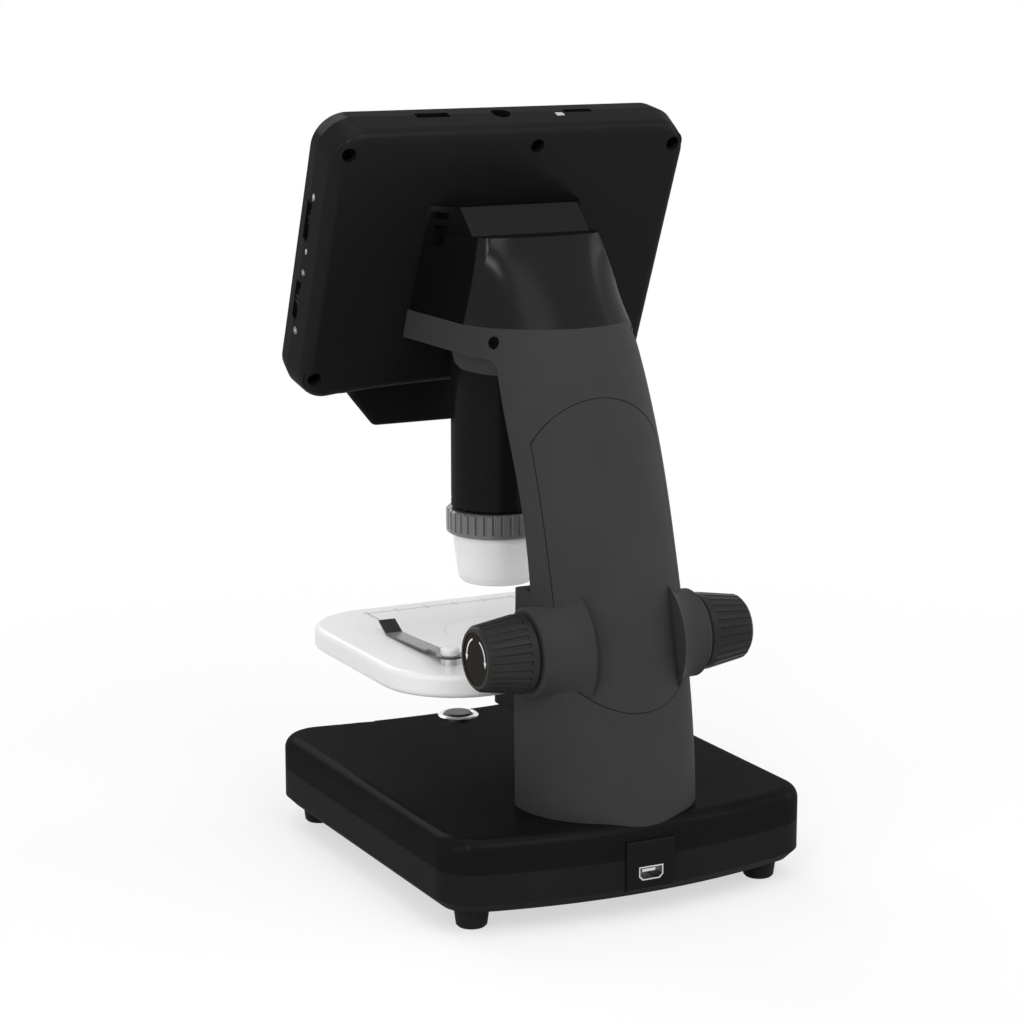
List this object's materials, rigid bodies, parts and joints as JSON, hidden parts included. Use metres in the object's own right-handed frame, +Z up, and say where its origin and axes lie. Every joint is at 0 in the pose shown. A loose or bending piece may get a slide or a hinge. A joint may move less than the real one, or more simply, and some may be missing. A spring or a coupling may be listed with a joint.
{
  "type": "lcd digital microscope",
  "caption": "Bench digital microscope: flat base, dark column with fluted focus knobs, travelling stage with spring clips, black lens barrel and a tilted screen housing.",
  "frame": {"origin": "centre of the bounding box in plan, on the plane that the four rubber feet stand on", "axes": "+Z up along the column, -Y towards the user who looks at the screen, +X to the user's right"},
  "size_m": [0.1162, 0.1388, 0.2193],
  "materials": {
    "base_plastic": "satin black moulding",
    "column_rubber": "matt soft-touch coating",
    "inlay_rubber": "matt soft-touch coating",
    "foot_rubber": "matt black",
    "housing_plastic": "satin black moulding",
    "bezel_plastic": "satin black moulding",
    "window_glass": "clear, glossy, with a dark print behind its edge",
    "screen_module": "dark glossy display",
    "barrel_plastic": "satin black",
    "ring_plastic": "translucent grey, polished",
    "white_plastic": "satin white",
    "stage_white": "satin white with a printed ruler",
    "diffuser_plastic": "milky white, translucent",
    "carriage_plastic": "satin black",
    "knob_plastic": "satin black, fluted",
    "cap_plastic": "glossy brownish black with two white arc arrows",
    "clip_steel": "black painted spring steel",
    "dark_steel": "black oxide screw",
    "bright_steel": "bright machined steel",
    "bearing_brass": "machined",
    "gear_plastic": "natural acetal",
    "board": "green laminate",
    "board_white": "white laminate",
    "led": "clear lens with a pale yellow chip",
    "socket_metal": "plated socket shell",
    "socket_plastic": "black moulding",
    "lens_glass": "polished, coated",
    "button_plastic": "satin dark grey",
    "button_ring": "plated",
    "panel_plastic": "matt black"
  },
  "bodies": {
    "stand": {"base_upper_shell": "base_plastic", "base_lower_shell": "base_plastic", "base_screws": "bright_steel", "rubber_feet": "foot_rubber", "ballast_plate": "bright_steel", "port_panel": "panel_plastic", "usb_socket": "socket_metal", "power_board": "board", "power_button_ring": "button_ring", "column_shell": "column_rubber", "rear_inlay_panel": "inlay_rubber", "collar_screws": "dark_steel", "column_front_cover": "column_rubber", "slide_rails": "bright_steel", "shaft_bushes": "bearing_brass", "friction_washers": "gear_plastic", "barrel_tube": "barrel_plastic", "light_shroud": "white_plastic", "led_ring_board": "board_white", "leds": "led", "sensor_board": "board", "lcd_rear_shell": "housing_plastic", "lcd_front_bezel": "bezel_plastic", "screen_window": "window_glass", "lcd_module": "screen_module", "rear_screws": "dark_steel", "main_board": "board", "cable_socket": "socket_metal", "av_jack": "socket_plastic", "card_slot": "socket_metal", "wheel_pots": "socket_plastic"},
    "stage": {"stage_carriage": "carriage_plastic", "focus_rack": "gear_plastic", "stage_plate": "stage_white", "stage_diffuser": "diffuser_plastic", "stage_under_cover": "white_plastic", "stage_screws": "bright_steel", "light_board": "board_white", "clip_posts": "bright_steel", "clip_caps": "white_plastic"},
    "focus_knobs": {"focus_shaft": "bright_steel", "pinion": "bearing_brass", "left_focus_knob": "knob_plastic", "right_focus_knob": "knob_plastic", "left_knob_cap": "cap_plastic", "right_knob_cap": "cap_plastic"},
    "left_clip": {"left_stage_clip": "clip_steel"},
    "right_clip": {"right_stage_clip": "clip_steel"},
    "ring": {"magnification_ring": "ring_plastic"},
    "lens_carrier": {"lens_cell": "barrel_plastic", "lens": "lens_glass"},
    "upper_wheel": {"upper_thumb_wheel": "knob_plastic"},
    "lower_wheel": {"lower_thumb_wheel": "knob_plastic"},
    "button_1": {"chin_button_1": "button_plastic"},
    "button_2": {"chin_button_2": "button_plastic"},
    "button_3": {"chin_button_3": "button_plastic"},
    "button_4": {"chin_button_4": "button_plastic"},
    "button_5": {"chin_button_5": "button_plastic"},
    "power_key": {"power_button": "button_plastic"}
  },
  "joints": [
    {"name": "focus_travel", "type": "slide", "parent": "stand", "child": "stage", "axis": [0, 0, 1], "range_m": [-0.01, 0.013]},
    {"name": "knob_turn", "type": "hinge", "parent": "stand", "child": "focus_knobs", "pos_m": [0, 0.0446, 0.0739], "axis": [-1, 0, 0], "range_deg": [-120, 156]},
    {"name": "left_clip_swing", "type": "hinge", "parent": "stage", "child": "left_clip", "pos_m": [0.0305, 0.0047, 0.0644], "axis": [0, 0, 1], "range_deg": [-22, 20]},
    {"name": "right_clip_swing", "type": "hinge", "parent": "stage", "child": "right_clip", "pos_m": [-0.0305, 0.0047, 0.0644], "axis": [0, 0, 1], "range_deg": [-20, 22]},
    {"name": "lens_travel", "type": "slide", "parent": "stand", "child": "lens_carrier", "axis": [0, 0, 1], "range_m": [0, 0.012]},
    {"name": "magnification_turn", "type": "hinge", "parent": "stand", "child": "ring", "pos_m": [0, -0.0256, 0.0965], "axis": [0, 0, 1], "range_deg": [0, 270]},
    {"name": "upper_wheel_turn", "type": "hinge", "parent": "stand", "child": "upper_wheel", "pos_m": [0.0502, -0.03191, 0.18822], "axis": [0, 0.9272, -0.3746], "range_deg": [-150, 150]},
    {"name": "lower_wheel_turn", "type": "hinge", "parent": "stand", "child": "lower_wheel", "pos_m": [0.0502, -0.04157, 0.1643], "axis": [0, 0.9272, -0.3746], "range_deg": [-150, 150]},
    {"name": "button_1_press", "type": "slide", "parent": "stand", "child": "button_1", "axis": [0, 0.9272, -0.3746], "range_m": [0, 0.0008], "stiffness_N_per_m": 300, "springref_m": -0.0005},
    {"name": "button_2_press", "type": "slide", "parent": "stand", "child": "button_2", "axis": [0, 0.9272, -0.3746], "range_m": [0, 0.0008], "stiffness_N_per_m": 300, "springref_m": -0.0005},
    {"name": "button_3_press", "type": "slide", "parent": "stand", "child": "button_3", "axis": [0, 0.9272, -0.3746], "range_m": [0, 0.0008], "stiffness_N_per_m": 300, "springref_m": -0.0005},
    {"name": "button_4_press", "type": "slide", "parent": "stand", "child": "button_4", "axis": [0, 0.9272, -0.3746], "range_m": [0, 0.0008], "stiffness_N_per_m": 300, "springref_m": -0.0005},
    {"name": "button_5_press", "type": "slide", "parent": "stand", "child": "button_5", "axis": [0, 0.9272, -0.3746], "range_m": [0, 0.0008], "stiffness_N_per_m": 300, "springref_m": -0.0005},
    {"name": "power_press", "type": "slide", "parent": "stand", "child": "power_key", "axis": [0, 0, -1], "range_m": [0, 0.0008], "stiffness_N_per_m": 400, "springref_m": -0.0005}
  ],
  "couplings": [
    {"joint": "knob_turn", "follows": "focus_travel", "rad_per_m": 208.33},
    {"joint": "magnification_turn", "follows": "lens_travel", "rad_per_m": 392.7}
  ]
}
